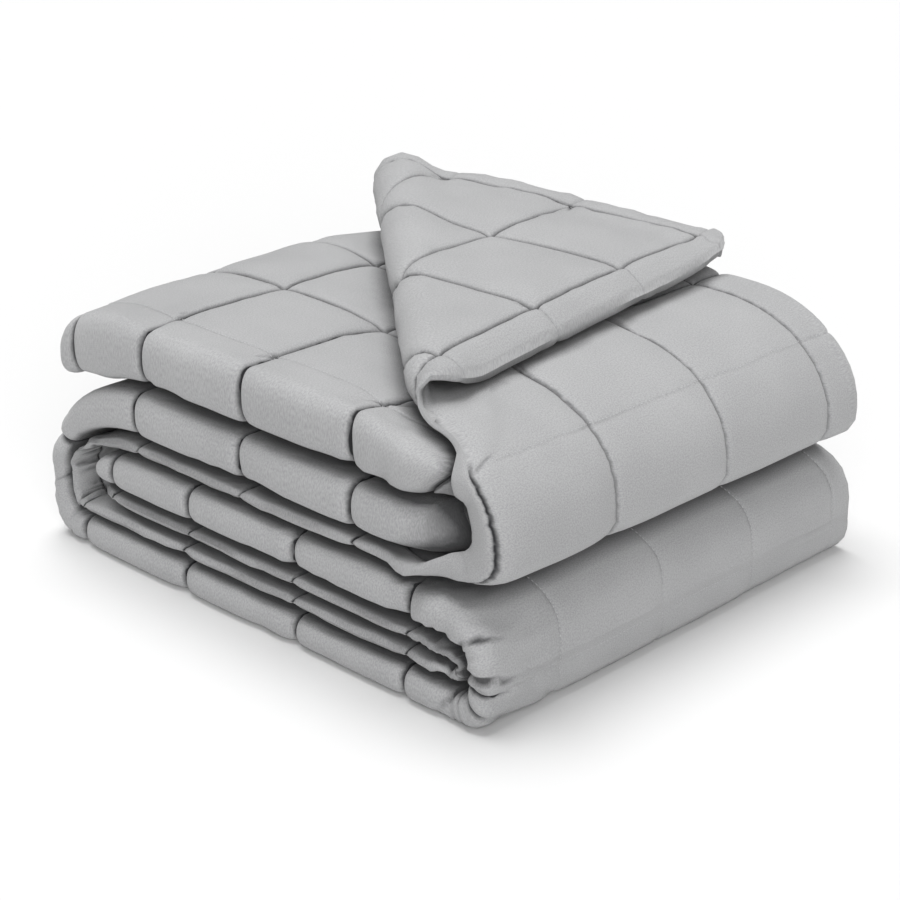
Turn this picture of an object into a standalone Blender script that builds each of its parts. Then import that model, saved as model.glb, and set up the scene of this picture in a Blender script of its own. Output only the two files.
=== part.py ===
# A weighted blanket, folded: one quilted sheet of 11 by 18 squares inside a sewn hem.
# It is folded in thirds across its width, then rolled up in four runs along its length,
# and the free corner of its uppermost leaf is turned over along a diagonal.
#
# The sheet is cut flat, with a line at each seam and each bend, given its two faces,
# and then every point of it is carried to its place in the folded block.
# X runs to the right, Y away from the front bends and Z up, from the bottom centre of
# the block. Sizes are in metres. Places on the flat sheet count squares: u across the
# width, v along the length.

import bpy
import bmesh
import numpy as np
from mathutils import Vector

SQUARE = 0.1065
SQUARES_WIDE = 11
SQUARES_LONG = 18
HEM = 0.024
HEM_SQUARES = HEM / SQUARE


def table(columns, *rows):
    # A short table: each row becomes a dictionary under the names of its columns.
    return [dict(zip(columns.split(), row)) for row in rows]


# Folding in thirds. The three leaves lie on each other, and the stack height n counts
# them: the base leaf fills 0 to 1, the mid leaf 1 to 2 and the face leaf 2 to 3. Way is
# the side of the cloth that looks up when the base leaf is at the bottom.
FACE_LEAF, MID_LEAF, BASE_LEAF = table(
    "u_start x_start u_between x_between u_end x_end n_middle way",
    (-HEM_SQUARES, 0.004, 1.500, 0.185, 3.200, 0.363, 2.5, 1.0),
    (3.435, 0.363, 5.500, 0.184, 7.215, 0.016, 1.5, -1.0),
    (7.450, 0.016, 9.300, 0.202, SQUARES_WIDE + HEM_SQUARES, 0.379, 0.5, 1.0),
)
# The bends between the leaves, at the right and at the left of the block. A roundness of
# 2 is an ellipse, and the seams that cross a bend draw it in by the inset.
SIDE_BEND_REACH = 0.017
RIGHT_BEND, LEFT_BEND = table("roundness inset", (4.2, 0.002), (2.8, 0.008))

# The four runs, from the table up, with the puffed thickness of each leaf. An upright
# run has its base leaf at the bottom.
RUNS = table(
    "run upright base mid face",
    ("bottom", True, 0.0130, 0.0135, 0.0145),
    ("inner", False, 0.0155, 0.0155, 0.0125),
    ("middle", False, 0.0185, 0.0195, 0.0140),
    ("top", True, 0.0195, 0.0195, 0.0150),
)
RUN_GAP = 0.0012
LEAF_EDGES = (0, 1, 2, 3)

# Where the runs start and end, in the order of the length, with one place between.
TRACKS = table(
    "run v_start y_start v_between y_between v_end y_end",
    ("inner", -HEM_SQUARES, 0.376, 1.00, 0.276, 3.00, 0.066),
    ("bottom", 4.60, 0.030, 6.00, 0.171, 8.00, 0.393),
    ("middle", 10.00, 0.329, 11.00, 0.222, 12.56, 0.058),
    ("top", 14.75, 0.090, 17.00, 0.319, SQUARES_LONG + HEM_SQUARES, 0.408),
)
INNER_TRACK, BOTTOM_TRACK, MIDDLE_TRACK, TOP_TRACK = TRACKS

# The bends between the runs: two quarter curves that meet at the nose. noses holds the
# nose's y at stack heights 0 to 3, and a roundness of 2 is an ellipse.
BENDS = table(
    "bend v_nose noses z_outside n_outside roundness_in roundness_out",
    ("low front", 3.86, (-0.004, 0.008, 0.018, 0.027), 0.040, 0, 2.8, 5.0),
    ("back", 8.63, (0.433, 0.421, 0.409, 0.397), 0.042, 0, 4.0, 2.0),
    ("high front", 13.35, (0.051, 0.034, 0.015, -0.010), 0.115, 3, 2.6, 2.1),
)

# The free ends: their leaves sink together towards one height and keep a share of it.
# keep_face is the share for the face leaf.
ENDS = table(
    "run y_start y_end z_end keep keep_face",
    ("inner", 0.330, 0.376, 0.064, 0.45, 0.45),
    ("top", 0.345, 0.408, 0.120, 0.45, 0.98),
)
END_POWER = 2.2
FACE_LEAF_FROM = (1.95, 2.05)

# At the high front bend the left of the face leaf lies further out, up to FRONT_WHOLE_U,
# with its hem tucked in behind it, and the bend of the two lower leaves is drawn back.
# Above the bend that hem lies crowded, up to where the corner turns over.
FRONT_SHIFT = 0.0115
FRONT_WHOLE_U = 1.2
FRONT_NONE_U = 3.0
FRONT_V = (12.15, 12.60, 13.90, 14.30)
FRONT_LATER = 0.7
TUCK_V = (12.60, 13.00, 13.60, 14.05)
TUCK_BEND = 0.006
TUCK_ANGLE = 1.75
TUCK_LEAF = 0.0175
CROWDED = 0.012
CROWDED_V = (13.60, 14.00, 14.35, 14.90)
HOLLOW_DEPTH = 0.025
HOLLOW_PLACE = (7.33, 13.35)
HOLLOW_REACH = (0.9, 1.1)

# The two lower leaves of the top run puff up where nothing lies on them. At the free end
# they sag at the left and reach further back to the right of it.
FREED_RISE = 0.010
FREED_REACH = 0.060
SAG = 0.007
SAG_Y = (0.325, 0.365)
BACK = 0.010
BACK_Y = (0.300, 0.400)
BACK_X = (0.015, 0.075)

# The quilting. A seam sinks both faces by a share of half the leaf, and less where the
# cloth is pulled tight around the outside of the block.
SEAM_DEPTH = 0.68
SEAM_DEPTH_TIGHT = 0.25
PUFF_POWER = 3.5
HEM_PUFF = 0.70
LEAF_GAP = 0.06

# The turned corner: the line along which the face leaf lifts, as x and y, the radius
# of its roll at both ends of that line, and how it settles on the leaf beyond the roll.
TURN_START = np.array((0.000, 0.030))
TURN_END = np.array((0.338, 0.403))
TURN_RADIUS_START = 0.0105
TURN_RADIUS_END = 0.0200
TURN_SETTLE = 0.050
TURN_CLEARANCE = 0.0145
TURN_THICKER = 0.40
TURN_FROM_V = 14.0
TURN_CUTS = 6
TURN_KNEE_U = 2.0

# The face leaf lies at its full length along the block up to LAID_WHOLE_U, and is as short
# as the leaves below it from LAID_SHORT_U. The hem of its turned corner is drawn narrower.
SQUARE_LAID = 0.1066
LAID_WHOLE_U = 1.6
LAID_SHORT_U = 3.1
HEM_DRAWN = 0.20

# The block is lower at its right front, and its underside is pressed flat.
RIGHT_DROP = 0.045
UNDERSIDE_PRESS = 0.0012

# Lines across a square, as shares of it, and strips in each side bend and quarter bend.
SQUARE_LINES = (0.0, 0.24, 0.76)
SIDE_BEND_STRIPS = 4
QUARTER_STRIPS = 4
LEAST_STRIP = 0.035
SAME_LINE = 0.02

GREY = (0.47, 0.47, 0.475, 1.0)
CLOTH_ROUGHNESS = 0.85


def eased(t):
    t = np.clip(t, 0.0, 1.0)
    return t * t * (3.0 - 2.0 * t)


def between(v, places):
    # 0 before the first place, 1 between the second and the third, 0 after the last.
    rising = eased((v - places[0]) / (places[1] - places[0]))
    return rising * (1.0 - eased((v - places[2]) / (places[3] - places[2])))


def crown(t):
    # 1 in the middle of a square, 0 on the seams at both sides of it.
    return 1.0 - np.abs(2.0 * (t - np.floor(t)) - 1.0) ** PUFF_POWER


def puff(u, v):
    # How full the cloth is: a crown in each square, and a flatter roll along the hem.
    past_seam = np.maximum.reduce([-u, u - SQUARES_WIDE, -v, v - SQUARES_LONG]) / HEM_SQUARES
    return np.where(past_seam > 0.0, HEM_PUFF * np.minimum(past_seam, 1.0), crown(u) * crown(v))


def half_thickness(u, v, side):
    # Half of the leaf's thickness, as stack height. side is 1 or -1 for the cloth's faces.
    base_outside = (u > BASE_LEAF["u_start"]) & (side < 0.0) & (v < MIDDLE_TRACK["v_start"])
    face_outside = ((u < MID_LEAF["u_start"]) & (side > 0.0)
                    & (v > MIDDLE_TRACK["v_end"]) & (v < TOP_TRACK["v_start"]))
    depth = np.where(base_outside | face_outside, SEAM_DEPTH_TIGHT, SEAM_DEPTH)
    return (0.5 - LEAF_GAP) * (1.0 - depth * (1.0 - puff(u, v)))


def fold_in_thirds(u, v, side):
    # The place x and the stack height n of each point.
    half = half_thickness(u, v, side)
    x = np.zeros_like(u)
    n = np.zeros_like(u)
    for leaf in (FACE_LEAF, MID_LEAF, BASE_LEAF):
        here = (u >= leaf["u_start"] - 1e-6) & (u <= leaf["u_end"] + 1e-6)
        straight = np.interp(u, [leaf[name] for name in ("u_start", "u_between", "u_end")],
                             [leaf[name] for name in ("x_start", "x_between", "x_end")])
        x = np.where(here, straight, x)
        n = np.where(here, leaf["n_middle"] + leaf["way"] * side * half, n)
    for before, after, side_bend in ((FACE_LEAF, MID_LEAF, RIGHT_BEND), (MID_LEAF, BASE_LEAF, LEFT_BEND)):
        power = 2.0 / side_bend["roundness"]
        inset = side_bend["inset"] * (1.0 - crown(v))
        here = (u > before["u_end"]) & (u < after["u_start"])
        angle = np.pi * (u - before["u_end"]) / (after["u_start"] - before["u_end"])
        radius = 0.5 + before["way"] * side * half
        middle = 0.5 * (before["n_middle"] + after["n_middle"])
        out = np.abs(np.sin(angle)) ** power
        up = np.sign(np.cos(angle)) * np.abs(np.cos(angle)) ** power
        bent = before["x_end"] + before["way"] * (SIDE_BEND_REACH * radius - inset) * out
        x = np.where(here, bent, x)
        n = np.where(here, middle + radius * up, n)
    return pull_in(u, v, side * half, x, n)


def pull_in(u, v, across, x, n):
    # The shifted face leaf, its tucked hem and the hollow below it, at the high front bend.
    # across is the place between the cloth's faces, as stack height.
    face = u <= FACE_LEAF["u_end"]
    past = np.maximum(-u, 0.0) * SQUARE
    x = x + HEM_DRAWN * past * eased((v - TURN_FROM_V) / 1.5)
    x = x + CROWDED * between(v, CROWDED_V) * (1.0 - eased(u - FACE_LEAF["u_start"]))
    left = 1.0 - eased((u - FRONT_WHOLE_U) / (FRONT_NONE_U - FRONT_WHOLE_U))
    later = np.where(v > HOLLOW_PLACE[1], FRONT_LATER * eased(u), 0.0)
    shift = FRONT_SHIFT * between(v - later, FRONT_V) * left
    x = np.where(face, x - shift, x)
    seam = np.interp(0.0, (FACE_LEAF["u_start"], FACE_LEAF["u_between"]),
                     (FACE_LEAF["x_start"], FACE_LEAF["x_between"]))
    tucked = between(v, TUCK_V)
    most = TUCK_ANGLE * tucked
    angle = np.minimum(past / TUCK_BEND, most)
    straight = np.maximum(past - TUCK_BEND * most, 0.0)
    thick = across * TUCK_LEAF
    inward = TUCK_BEND * np.sin(angle) + straight * np.cos(most) + thick * np.sin(angle)
    down = TUCK_BEND * (1.0 - np.cos(angle)) + straight * np.sin(most) - thick * np.cos(angle)
    hem = (u < 0.0) & (tucked > 0.0)
    x = np.where(hem, seam - shift - inward, x)
    n = np.where(hem, FACE_LEAF["n_middle"] - down / TUCK_LEAF, n)
    hollow = HOLLOW_DEPTH
    for place, middle, reach in zip((u, v), HOLLOW_PLACE, HOLLOW_REACH):
        hollow = hollow * (1.0 - eased(np.abs(place - middle) / reach))
    return np.where(face, x, x + hollow), n


def run_levels():
    # For each run, the heights z at stack heights 0 to 3.
    levels = {}
    floor = 0.0
    for run in RUNS:
        steps = np.cumsum([0.0, run["base"], run["mid"], run["face"]])
        levels[run["run"]] = floor + (steps if run["upright"] else steps[-1] - steps)
        floor += steps[-1] + RUN_GAP
    return levels


LEVELS = run_levels()


def height(run, n, y):
    z = np.interp(n, LEAF_EDGES, LEVELS[run])
    for end in ENDS:
        if end["run"] == run:
            t = np.clip((y - end["y_start"]) / (end["y_end"] - end["y_start"]), 0.0, 1.0)
            sunk = 1.0 - np.sqrt(1.0 - t ** END_POWER)
            keep = np.interp(n, FACE_LEAF_FROM, (end["keep"], end["keep_face"]))
            z = end["z_end"] + (z - end["z_end"]) * (1.0 - sunk * (1.0 - keep))
    return z


def quarter_angle(share, reach, rise, power):
    # The angle for a share of a quarter curve's length, from its run to its nose.
    angle = np.linspace(0.0, 0.5 * np.pi, 65)
    steps = np.hypot(np.diff(reach * np.sin(angle) ** power), np.diff(rise * np.cos(angle) ** power))
    length = np.concatenate(([0.0], np.cumsum(steps)))
    return np.interp(share, length / length[-1], angle)


def bend_quarter(v, n, bend, run, v_run, y_run, roundness):
    # One quarter of a bend, from the run it belongs to up to the nose.
    outside = bend["n_outside"]
    inside = LEAF_EDGES[-1] - outside
    neighbours = [track["run"] for track in TRACKS[BENDS.index(bend):BENDS.index(bend) + 2]]
    z_inside = 0.5 * sum(LEVELS[name][inside] for name in neighbours)
    z_nose = z_inside + (bend["z_outside"] - z_inside) * np.abs(n - inside) / LEAF_EDGES[-1]
    y_nose = np.interp(n, LEAF_EDGES, bend["noses"])
    z_run = height(run, n, np.full_like(v, y_run))
    power = 2.0 / roundness
    reach = abs(bend["noses"][outside] - y_run)
    rise = abs(LEVELS[run][outside] - bend["z_outside"])
    angle = quarter_angle((v - v_run) / (bend["v_nose"] - v_run), reach, rise, power)
    y = y_run + (y_nose - y_run) * np.sin(angle) ** power
    z = z_nose + (z_run - z_nose) * np.cos(angle) ** power
    return y, z


def roll_up(v, n):
    # The place y and the height z of each point.
    y = np.zeros_like(v)
    z = np.zeros_like(v)
    for track in TRACKS:
        here = (v >= track["v_start"] - 1e-6) & (v <= track["v_end"] + 1e-6)
        place = np.interp(v, [track[name] for name in ("v_start", "v_between", "v_end")],
                          [track[name] for name in ("y_start", "y_between", "y_end")])
        y = np.where(here, place, y)
        z = np.where(here, height(track["run"], n, place), z)
    for bend, before, after in zip(BENDS, TRACKS[:-1], TRACKS[1:]):
        into = (v > before["v_end"]) & (v <= bend["v_nose"])
        out_of = (v > bend["v_nose"]) & (v < after["v_start"])
        for here, run, v_run, y_run, roundness in (
                (into, before["run"], before["v_end"], before["y_end"], bend["roundness_in"]),
                (out_of, after["run"], after["v_start"], after["y_start"], bend["roundness_out"])):
            y_bent, z_bent = bend_quarter(v, n, bend, run, v_run, y_run, roundness)
            y = np.where(here, y_bent, y)
            z = np.where(here, z_bent, z)
    return y, z


def lay_face_leaf(u, v, y):
    # The place y of the face leaf on the top run.
    whole = 1.0 - eased((u - LAID_WHOLE_U) / (LAID_SHORT_U - LAID_WHOLE_U))
    squares = v - TOP_TRACK["v_start"] - HEM_DRAWN * np.maximum(v - SQUARES_LONG, 0.0)
    laid = TOP_TRACK["y_start"] + squares * SQUARE_LAID
    on_top = (u <= FACE_LEAF["u_end"]) & (v > TOP_TRACK["v_start"])
    return np.where(on_top, y + whole * (laid - y), y)


def turn_line(x, y):
    # The direction and length of the line of the turn, and for each point its way along
    # that line and its way beyond it.
    span = np.hypot(*(TURN_END - TURN_START))
    line = (TURN_END - TURN_START) / span
    step = (x - TURN_START[0]) * line[0] + (y - TURN_START[1]) * line[1]
    beyond = (y - TURN_START[1]) * line[0] - (x - TURN_START[0]) * line[1]
    return line, span, step, beyond


def free_lower_leaves(u, v, n, x, y, z):
    # The two lower leaves of the top run, where the turned corner has left them free.
    lower = u > FACE_LEAF["u_end"]
    beyond = turn_line(x, y)[-1]
    started = eased(v - TOP_TRACK["v_start"] + 1.0)
    stack = np.clip(n, 0.0, 2.0) / 2.0
    rise = FREED_RISE * eased(beyond / FREED_REACH) * stack * started
    sag = SAG * (1.0 - stack) * eased((y - SAG_Y[0]) / (SAG_Y[1] - SAG_Y[0]))
    right = eased((x - BACK_X[0]) / (BACK_X[1] - BACK_X[0]))
    back = BACK * right * eased((y - BACK_Y[0]) / (BACK_Y[1] - BACK_Y[0]))
    on_top = lower & (v > TOP_TRACK["v_start"])
    z = np.where(lower, z + rise, z)
    return np.where(on_top, y + back, y), np.where(on_top, z - sag, z)


def turn_corner(u, v, x, y, z):
    # The free corner of the face leaf rolls up from a line and lies back over the leaf.
    line, span, step, beyond = turn_line(x, y)
    turned = (u <= FACE_LEAF["u_end"]) & (v > TURN_FROM_V) & (beyond > 0.0)
    radius = np.interp(step / span, (0.0, 1.0), (TURN_RADIUS_START, TURN_RADIUS_END))
    n_middle = np.full_like(u, FACE_LEAF["n_middle"])
    offset = (z - height("top", n_middle, y)) * (1.0 + TURN_THICKER * eased(beyond / (np.pi * radius)))
    foot = height("top", n_middle, TURN_START[1] + step * line[1])
    angle = np.minimum(beyond / radius, np.pi)
    past = np.maximum(beyond - np.pi * radius, 0.0)
    resting = RUNS[-1]["face"] + TURN_CLEARANCE
    sinking = eased(past / TURN_SETTLE) * (np.maximum(2.0 * radius, resting) - resting)
    lift = radius - (radius - offset) * np.cos(angle) - sinking
    reach = (radius - offset) * np.sin(angle) - past
    x_turned = TURN_START[0] + step * line[0] - reach * line[1]
    y_turned = TURN_START[1] + step * line[1] + reach * line[0]
    return np.where(turned, x_turned, x), np.where(turned, y_turned, y), np.where(turned, foot + lift, z)


def fold_blanket(u, v, side):
    x, n = fold_in_thirds(u, v, side)
    y, z = roll_up(v, n)
    y = lay_face_leaf(u, v, y)
    y, z = free_lower_leaves(u, v, n, x, y, z)
    x, y, z = turn_corner(u, v, x, y, z)
    drop = RIGHT_DROP * (1.0 - eased(y / TOP_TRACK["y_end"]))
    z = z * (1.0 - drop * np.clip(x / BASE_LEAF["x_end"], 0.0, 1.0))
    z = np.maximum(z - z.min(), UNDERSIDE_PRESS) - UNDERSIDE_PRESS
    return x - 0.5 * (x.min() + x.max()), y - 0.5 * (y.min() + y.max()), z


def sheet_lines(squares, bends):
    # Where the flat sheet is divided: hem, seams, lines in the squares and in the bends.
    lines = [square + share for square in range(squares) for share in SQUARE_LINES]
    lines += [-HEM_SQUARES, float(squares), squares + HEM_SQUARES]
    for start, end, strips in bends:
        lines = [line for line in lines if not start + SAME_LINE < line < end - SAME_LINE]
        lines += list(np.linspace(start, end, strips + 1))
    kept = []
    for line in sorted(lines):
        if not kept or line - kept[-1] > LEAST_STRIP:
            kept.append(line)
    return kept


def flat_sheet():
    side_bends = [(FACE_LEAF["u_end"], MID_LEAF["u_start"], SIDE_BEND_STRIPS),
                  (MID_LEAF["u_end"], BASE_LEAF["u_start"], SIDE_BEND_STRIPS)]
    quarters = []
    for bend, before, after in zip(BENDS, TRACKS[:-1], TRACKS[1:]):
        quarters.append((before["v_end"], bend["v_nose"], QUARTER_STRIPS))
        quarters.append((bend["v_nose"], after["v_start"], QUARTER_STRIPS))
    u_lines = sheet_lines(SQUARES_WIDE, side_bends)
    v_lines = sheet_lines(SQUARES_LONG, quarters)
    sheet = bmesh.new()
    columns = len(u_lines) - 1
    ranks = len(v_lines) - 1
    bmesh.ops.create_grid(sheet, x_segments=columns, y_segments=ranks, size=1.0)
    for vert in sheet.verts:
        column = round(0.5 * (vert.co.x + 1.0) * columns)
        rank = round(0.5 * (vert.co.y + 1.0) * ranks)
        vert.co = (u_lines[column], v_lines[rank], 0.0)
    return sheet


def place_on_sheet(u, aside):
    # The point of the flat sheet, at that u, which lies at that way beyond the turn's line.
    line = turn_line(0.0, 0.0)[0]
    x = np.interp(u, [FACE_LEAF[name] for name in ("u_start", "u_between", "u_end")],
                  [FACE_LEAF[name] for name in ("x_start", "x_between", "x_end")])
    y = TURN_START[1] + (aside + (x - TURN_START[0]) * line[1]) / line[0]
    tries = np.linspace(TURN_FROM_V, SQUARES_LONG + 2.0, 240)
    laid = lay_face_leaf(np.full_like(tries, u), tries, roll_up(tries, np.full_like(tries, 2.5))[0])
    return Vector((u, np.interp(y, laid, tries), 0.0))


def divide_turn(sheet):
    # More lines across the face leaf, along the roll of its turned corner.
    pieces = ((FACE_LEAF["u_start"], TURN_KNEE_U), (TURN_KNEE_U, FACE_LEAF["u_end"]))
    for cut in range(TURN_CUTS + 1):
        aside = np.pi * TURN_RADIUS_END * cut / TURN_CUTS
        for first, last in pieces:
            start = place_on_sheet(first, aside)
            end = place_on_sheet(last, aside)
            middles = {face: face.calc_center_median() for face in sheet.faces}
            leaf = [face for face, middle in middles.items()
                    if first < middle.x < last and middle.y > TURN_FROM_V]
            edges = {edge for face in leaf for edge in face.edges}
            corners = {vert for face in leaf for vert in face.verts}
            bmesh.ops.bisect_plane(sheet, geom=[*leaf, *edges, *corners], dist=SAME_LINE, plane_co=start,
                                   plane_no=(end - start).cross(Vector((0.0, 0.0, 1.0))))


def blanket_mesh():
    sheet = flat_sheet()
    divide_turn(sheet)
    bmesh.ops.solidify(sheet, geom=sheet.faces[:], thickness=1.0)
    flat = np.array([vert.co[:] for vert in sheet.verts])
    side = np.sign(flat[:, 2] - flat[:, 2].mean())
    for vert, place in zip(sheet.verts, zip(*fold_blanket(flat[:, 0], flat[:, 1], side))):
        vert.co = place
    bmesh.ops.triangulate(sheet, faces=sheet.faces[:])
    bmesh.ops.recalc_face_normals(sheet, faces=sheet.faces[:])
    mesh = bpy.data.meshes.new("blanket")
    sheet.to_mesh(mesh)
    sheet.free()
    mesh.shade_smooth()
    return mesh


def grey_cloth():
    cloth = bpy.data.materials.new("grey cloth")
    cloth.use_nodes = True
    shader = cloth.node_tree.nodes["Principled BSDF"]
    shader.inputs["Base Color"].default_value = GREY
    shader.inputs["Roughness"].default_value = CLOTH_ROUGHNESS
    shader.inputs["Metallic"].default_value = 0.0
    return cloth


def main():
    for thing in list(bpy.data.objects):
        bpy.data.objects.remove(thing, do_unlink=True)
    parts = bpy.data.collections.new("weighted blanket")
    bpy.context.scene.collection.children.link(parts)
    mesh = blanket_mesh()
    mesh.materials.append(grey_cloth())
    parts.objects.link(bpy.data.objects.new("blanket", mesh))


main()
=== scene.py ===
from math import pi

import bmesh
import bpy
import numpy as np
from mathutils import Matrix, Vector, noise
from mathutils.bvhtree import BVHTree


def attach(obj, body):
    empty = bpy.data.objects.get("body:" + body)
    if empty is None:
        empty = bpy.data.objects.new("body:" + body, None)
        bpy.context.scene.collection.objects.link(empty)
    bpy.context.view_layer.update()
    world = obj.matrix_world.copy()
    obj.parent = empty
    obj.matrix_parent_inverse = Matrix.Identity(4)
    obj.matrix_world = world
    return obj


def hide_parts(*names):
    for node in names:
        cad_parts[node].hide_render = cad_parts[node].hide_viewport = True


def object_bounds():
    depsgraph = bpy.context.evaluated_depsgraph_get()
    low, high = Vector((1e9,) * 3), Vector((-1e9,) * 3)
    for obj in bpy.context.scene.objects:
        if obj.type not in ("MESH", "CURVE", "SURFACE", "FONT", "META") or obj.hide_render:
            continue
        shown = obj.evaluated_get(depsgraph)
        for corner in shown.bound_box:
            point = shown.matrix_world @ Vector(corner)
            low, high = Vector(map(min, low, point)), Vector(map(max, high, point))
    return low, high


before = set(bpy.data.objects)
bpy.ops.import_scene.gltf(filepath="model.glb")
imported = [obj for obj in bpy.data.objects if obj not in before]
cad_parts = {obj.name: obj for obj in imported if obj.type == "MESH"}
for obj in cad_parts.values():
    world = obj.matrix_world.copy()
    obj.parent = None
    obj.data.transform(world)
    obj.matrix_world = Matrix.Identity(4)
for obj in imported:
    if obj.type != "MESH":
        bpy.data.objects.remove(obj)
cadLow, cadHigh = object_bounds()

# A quilted weighted blanket, folded in thirds across its width and rolled up in four runs
# along its length, with the free corner of its uppermost leaf turned over.
# The sheet is cut flat at its own size and every point of it is carried to its folded place.
# Places on the flat sheet count squares: u across the width, v along the length.

quilt = {
    "square": 0.1065,
    "squaresWide": 11,
    "squaresLong": 18,
    "hem": 0.024,              # from the last seam to the edge
    "cornerRoundness": 2.2,    # 2 rounds a corner of the hem fully, 10 leaves it square
    "leafGap": 0.06,           # the air left at each face of a leaf, as a share of its height
    "seed": 11,
    "fullness": (0.84, 1.0),   # how full the squares are, from the flattest to the fullest
    "shoulder": (4.0, 13.0),   # beside a seam: low is a soft shoulder, high is a steep one
    "depth": 0.84,             # how far a seam sinks a face, as a share of half the leaf
    "depthUnder": 0.60,        # on the pressed underside
    "depthHem": 0.34,          # where it crosses the hem
    "creaseShare": 0.55,       # the narrow part of a seam's trough
    "creaseWidth": 0.0012,
    "hemRoll": 4.2,            # how steep the hem is beside its seam
    "hemRound": 2.2,           # and at its edge, where 2 is a full round
    "hemEdge": 0.06,           # what is left of its thickness at the very edge
    "hemEdgeFrom": 0.98,
    "wander": 0.0022,          # how far a seam strays from its line
    "wanderLength": 0.075,
    "waver": 0.0011,           # and how it wavers on a shorter way
    "waverLength": 0.014,
    "soft": 0.14,              # how uneven the filling is
    "softSize": 0.040,
    "ridge": 4.0,              # how sharp the folds of the crumples are
    "foldFade": 1.6,           # and how steeply they fade towards the edge of a spot
    "swing": 0.30,             # how far the crumples of the hem push it to and fro
    "swingSize": 1.7,
    "swingFade": 2.0,
    "creaseFade": 1.5,         # how long a single crease stays deep towards its end
}
square = quilt["square"]
wide = quilt["squaresWide"]
long = quilt["squaresLong"]
hemSquares = quilt["hem"] / square
nearly = 1e-6                  # places closer than this are the same


def rows(columns, *values):
    # a short table: each row becomes a dictionary under the names of its columns
    return [dict(zip(columns.split(), row)) for row in values]


# Folding in thirds: the stack height n counts the leaves, base 0 to 1, mid 1 to 2, face 2 to 3.
faceLeaf, midLeaf, baseLeaf = rows(
    "uStart xStart uBetween xBetween uEnd xEnd middle way",
    (-hemSquares, 0.004, 1.500, 0.185, 3.200, 0.363, 2.5, 1.0),
    (3.435, 0.363, 5.500, 0.184, 7.215, 0.016, 1.5, -1.0),
    (7.450, 0.016, 9.300, 0.202, wide + hemSquares, 0.379, 0.5, 1.0),
)
sideBend = {
    "reach": 0.017,
    "roundRight": 4.2,         # 2 is an ellipse
    "roundLeft": 2.45,
    "insetRight": 0.002,       # how far the seams that cross a bend draw it in
    "insetLeft": 0.0055,
    "drawnWide": 0.0090,       # how far beside a seam the bend is drawn in, in a wide part
    "drawnNarrow": 0.0016,     # and a narrow one
    "wideShare": 0.25,
}

# At the high front bend the face leaf lies further left with its hem tucked in behind it,
# and the bend of the two lower leaves is drawn back into a hollow.
frontShear = {
    "by": 0.0115,
    "v": (12.15, 12.60, 13.90, 14.30),
    "later": 0.7,              # the shear ends later along the length to the right of the hem
    "whole": 1.2,              # up to this u
    "none": 3.0,               # and none from here on
}
hemTuck = {
    "v": (11.40, 11.60, 14.65, 15.00),
    "angleV": (12.45, 13.05, 13.7, 14.1),
    "angle": (0.0, 1.80, 1.85, 0.7),        # how far it is folded in, in radians
    "bend": 0.0018,                         # the radius of that fold
    "leaf": 0.0175,                         # the leaf's thickness there
    "keptV": (11.5, 12.3, 13.8, 14.15, 14.7),
    "kept": (1.0, 0.72, 0.75, 0.12, 0.12),  # how much of its width the crumpled hem keeps
    "keptThick": 0.7,                       # below this share of its width it gets thinner
    "thin": 0.70,                           # how much of its thickness the fold takes
    "thinWithin": 0.006,
    "underAngle": 1.8,                      # past this angle the leaf below gives way
    "underWhole": 0.5,
    "underThin": 0.7,
    "underReach": 0.4,
    "bunchedV": (13.9, 14.15, 14.9, 15.2),  # where no painted seam shade shows along it
}
hemCrowd = {"by": 0.008, "v": (13.90, 14.25, 14.45, 15.00)}     # the hem above, pushed right
hollow = {"by": 0.034, "u": 7.33, "reachU": 0.9, "v": 13.30, "reachV": 1.1}

# The four runs from the floor up, with the puffed thickness of each leaf.
runs = rows(
    "run upright base mid face",
    ("bottom", True, 0.0130, 0.0135, 0.0145),
    ("inner", False, 0.0155, 0.0155, 0.0125),
    ("middle", False, 0.0185, 0.0195, 0.0140),
    ("top", True, 0.0195, 0.0195, 0.0150),
)
runGap = 0.0012
leafEdges = (0, 1, 2, 3)

# Where the runs start and end, in the order of the length, with one place between.
tracks = rows(
    "run vStart yStart vBetween yBetween vEnd yEnd",
    ("inner", -hemSquares, 0.376, 1.00, 0.276, 3.00, 0.066),
    ("bottom", 4.60, 0.030, 6.00, 0.171, 8.00, 0.393),
    ("middle", 10.00, 0.329, 11.00, 0.222, 12.56, 0.058),
    ("top", 14.75, 0.090, 17.00, 0.319, long + hemSquares, 0.408),
)
topTrack = tracks[-1]

# The bends between the runs: two quarter curves that meet at the nose.
bends = rows(
    "vNose noses zOutside outside roundnessIn roundnessOut",
    (3.86, (-0.004, 0.008, 0.018, 0.027), 0.040, 0, 2.8, 5.0),      # low front
    (8.63, (0.433, 0.421, 0.409, 0.397), 0.042, 0, 4.0, 2.0),       # back
    (13.35, (0.051, 0.034, 0.015, -0.010), 0.115, 3, 2.6, 2.1),     # high front
)

# The free ends: their leaves sink together towards one height and keep a share of it.
freeEnds = rows(
    "run yStart yEnd zEnd keep keepFace",
    ("inner", 0.330, 0.376, 0.064, 0.45, 0.45),
    ("top", 0.345, 0.408, 0.120, 0.45, 0.98),
)
endPower = 2.2
faceFrom = (1.95, 2.05)        # the stack heights between which keep turns into keepFace

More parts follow.
